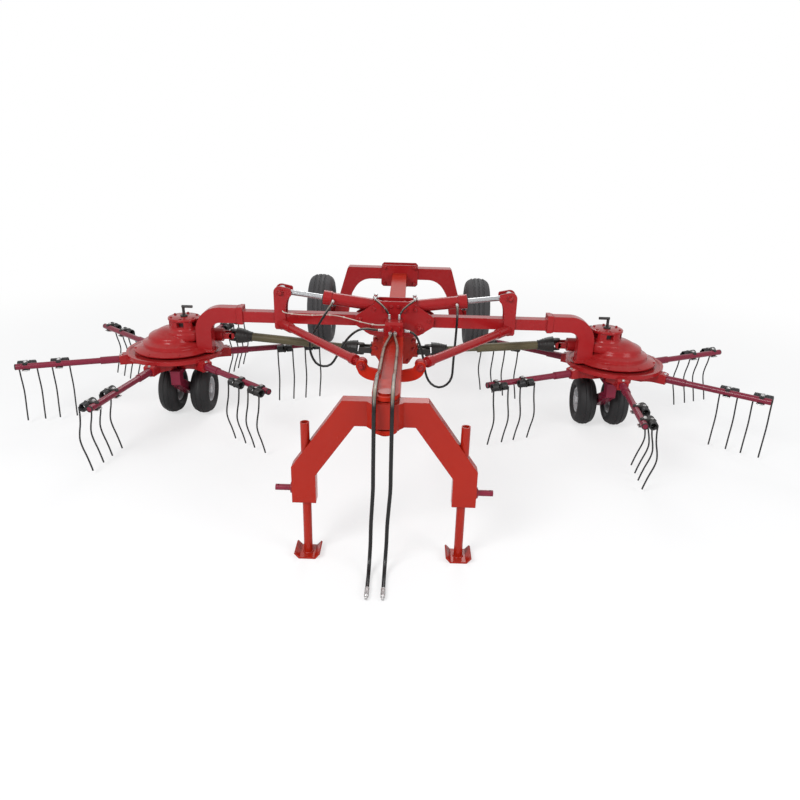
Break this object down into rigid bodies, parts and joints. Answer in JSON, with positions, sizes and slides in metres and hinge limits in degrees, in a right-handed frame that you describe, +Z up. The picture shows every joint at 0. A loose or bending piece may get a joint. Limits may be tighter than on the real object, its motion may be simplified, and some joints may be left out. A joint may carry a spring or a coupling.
{
  "type": "rotary hay rake",
  "caption": "Semi-mounted twin-rotor rotary hay rake: swivel headstock, long beam with wheeled rear portal, and hydraulic folding arms that carry tined rotors on small wheels.",
  "frame": {"origin": "on the ground in the middle of the rake, at the centre of its overall width and length without the loose hoses", "axes": "+X to the right seen from the hitch looking back, +Y back from the hitch to the rear axle, +Z up"},
  "size_m": [4.7266, 3.932, 0.911],
  "materials": {
    "orange_red_paint": "gloss",
    "crimson_paint": "gloss",
    "plum_paint": "gloss",
    "spring_steel_black": "satin",
    "tyre": "matte",
    "bright_steel": "satin",
    "dark_steel": "satin",
    "olive_tube": "satin",
    "chrome_rod": "polished",
    "hose_rubber": "satin"
  },
  "bodies": {
    "frame": {"main_beam": "orange_red_paint", "king_pin": "bright_steel", "turret": "crimson_paint", "fold_pins": "bright_steel", "gearbox": "crimson_paint", "gearbox_shafts": "bright_steel", "axle_flange": "crimson_paint", "rear_axle": "crimson_paint", "valve_block": "crimson_paint", "beam_hoses": "hose_rubber", "feed_hose_left": "hose_rubber", "feed_hose_right": "hose_rubber", "hose_couplers": "bright_steel", "loop_hose_left": "hose_rubber", "loop_hose_right": "hose_rubber"},
    "headstock": {"headstock": "orange_red_paint", "hitch_pins": "bright_steel"},
    "stand_left": {"stand_left": "orange_red_paint"},
    "rear_wheel_left": {"rear_tyre_left": "tyre", "rear_rim_left": "crimson_paint"},
    "arm_left": {"arm_left": "crimson_paint", "gooseneck_left": "crimson_paint", "cylinder_lug_left": "crimson_paint", "strut_left": "crimson_paint", "rotor_housing_left": "crimson_paint", "crank_left": "crimson_paint", "wheel_carrier_left": "crimson_paint"},
    "rotor_left": {"rotor_disc_left": "crimson_paint", "tine_arms_left": "plum_paint", "tine_coils_left": "spring_steel_black", "tines_left": "spring_steel_black"},
    "rotor_wheels_left": {"rotor_tyres_left": "tyre", "rotor_rims_left": "crimson_paint"},
    "cylinder_left": {"barrel_left": "orange_red_paint"},
    "piston_left": {"rod_left": "chrome_rod"},
    "drive_in_left": {"drive_inner_left": "dark_steel"},
    "drive_out_left": {"drive_outer_left": "olive_tube"},
    "stand_right": {"stand_right": "orange_red_paint"},
    "rear_wheel_right": {"rear_tyre_right": "tyre", "rear_rim_right": "crimson_paint"},
    "arm_right": {"arm_right": "crimson_paint", "gooseneck_right": "crimson_paint", "cylinder_lug_right": "crimson_paint", "strut_right": "crimson_paint", "rotor_housing_right": "crimson_paint", "crank_right": "crimson_paint", "wheel_carrier_right": "crimson_paint"},
    "rotor_right": {"rotor_disc_right": "crimson_paint", "tine_arms_right": "plum_paint", "tine_coils_right": "spring_steel_black", "tines_right": "spring_steel_black"},
    "rotor_wheels_right": {"rotor_tyres_right": "tyre", "rotor_rims_right": "crimson_paint"},
    "cylinder_right": {"barrel_right": "orange_red_paint"},
    "piston_right": {"rod_right": "chrome_rod"},
    "drive_in_right": {"drive_inner_right": "dark_steel"},
    "drive_out_right": {"drive_outer_right": "olive_tube"}
  },
  "joints": [
    {"name": "headstock_swivel", "type": "hinge", "parent": "frame", "child": "headstock", "pos_m": [0, -1.768, 0.73], "axis": [0, 0, 1], "range_deg": [-20, 20]},
    {"name": "stand_slide_left", "type": "slide", "parent": "headstock", "child": "stand_left", "axis": [0, 0, 1], "range_m": [0, 0.24]},
    {"name": "arm_fold_left", "type": "hinge", "parent": "frame", "child": "arm_left", "pos_m": [-0.158, -0.208, 0.668], "axis": [0, 1, 0], "range_deg": [-4, 60]},
    {"name": "cylinder_tilt_left", "type": "hinge", "parent": "frame", "child": "cylinder_left", "pos_m": [-0.06, -0.208, 0.79], "axis": [0, 1, 0], "range_deg": [-4.97, 60.5]},
    {"name": "rod_slide_left", "type": "slide", "parent": "cylinder_left", "child": "piston_left", "axis": [-0.9922, 0, 0.1246], "range_m": [-0.1604, 0.0144]},
    {"name": "drive_swing_left", "type": "hinge", "parent": "frame", "child": "drive_in_left", "pos_m": [-0.22, -0.096, 0.47], "axis": [0, 1, 0], "range_deg": [-4.78, 57.68]},
    {"name": "drive_slide_left", "type": "slide", "parent": "drive_in_left", "child": "drive_out_left", "axis": [-0.9967, 0, 0.0811], "range_m": [-0.0173, 0.2039]},
    {"name": "rotor_spin_left", "type": "hinge", "parent": "arm_left", "child": "rotor_left", "pos_m": [-1.454, -0.148, 0.44], "axis": [0, 0, 1], "continuous": true},
    {"name": "rotor_wheels_spin_left", "type": "hinge", "parent": "arm_left", "child": "rotor_wheels_left", "pos_m": [-1.394, -0.138, 0.165], "axis": [-1, 0, 0], "continuous": true},
    {"name": "rear_wheel_spin_left", "type": "hinge", "parent": "frame", "child": "rear_wheel_left", "pos_m": [-0.686, 1.512, 0.31], "axis": [-1, 0, 0], "continuous": true},
    {"name": "stand_slide_right", "type": "slide", "parent": "headstock", "child": "stand_right", "axis": [0, 0, 1], "range_m": [0, 0.24]},
    {"name": "arm_fold_right", "type": "hinge", "parent": "frame", "child": "arm_right", "pos_m": [0.158, -0.208, 0.668], "axis": [0, -1, 0], "range_deg": [-4, 60]},
    {"name": "cylinder_tilt_right", "type": "hinge", "parent": "frame", "child": "cylinder_right", "pos_m": [0.06, -0.208, 0.79], "axis": [0, -1, 0], "range_deg": [-4.97, 60.5]},
    {"name": "rod_slide_right", "type": "slide", "parent": "cylinder_right", "child": "piston_right", "axis": [0.9922, 0, 0.1246], "range_m": [-0.1604, 0.0144]},
    {"name": "drive_swing_right", "type": "hinge", "parent": "frame", "child": "drive_in_right", "pos_m": [0.22, -0.096, 0.47], "axis": [0, -1, 0], "range_deg": [-4.78, 57.68]},
    {"name": "drive_slide_right", "type": "slide", "parent": "drive_in_right", "child": "drive_out_right", "axis": [0.9967, 0, 0.0811], "range_m": [-0.0173, 0.2039]},
    {"name": "rotor_spin_right", "type": "hinge", "parent": "arm_right", "child": "rotor_right", "pos_m": [1.454, -0.148, 0.44], "axis": [0, 0, -1], "continuous": true},
    {"name": "rotor_wheels_spin_right", "type": "hinge", "parent": "arm_right", "child": "rotor_wheels_right", "pos_m": [1.394, -0.138, 0.165], "axis": [-1, 0, 0], "continuous": true},
    {"name": "rear_wheel_spin_right", "type": "hinge", "parent": "frame", "child": "rear_wheel_right", "pos_m": [0.686, 1.512, 0.31], "axis": [-1, 0, 0], "continuous": true}
  ],
  "couplings": [
    {"joint": "cylinder_tilt_left", "follows": "arm_fold_left", "ratio": 0.99173},
    {"joint": "rod_slide_left", "follows": "arm_fold_left", "m_per_rad": -0.14936},
    {"joint": "drive_swing_left", "follows": "arm_fold_left", "ratio": 0.94463},
    {"joint": "drive_slide_left", "follows": "arm_fold_left", "m_per_rad": 0.19091},
    {"joint": "cylinder_tilt_right", "follows": "arm_fold_right", "ratio": 0.99173},
    {"joint": "rod_slide_right", "follows": "arm_fold_right", "m_per_rad": -0.14936},
    {"joint": "drive_swing_right", "follows": "arm_fold_right", "ratio": 0.94463},
    {"joint": "drive_slide_right", "follows": "arm_fold_right", "m_per_rad": 0.19091}
  ]
}
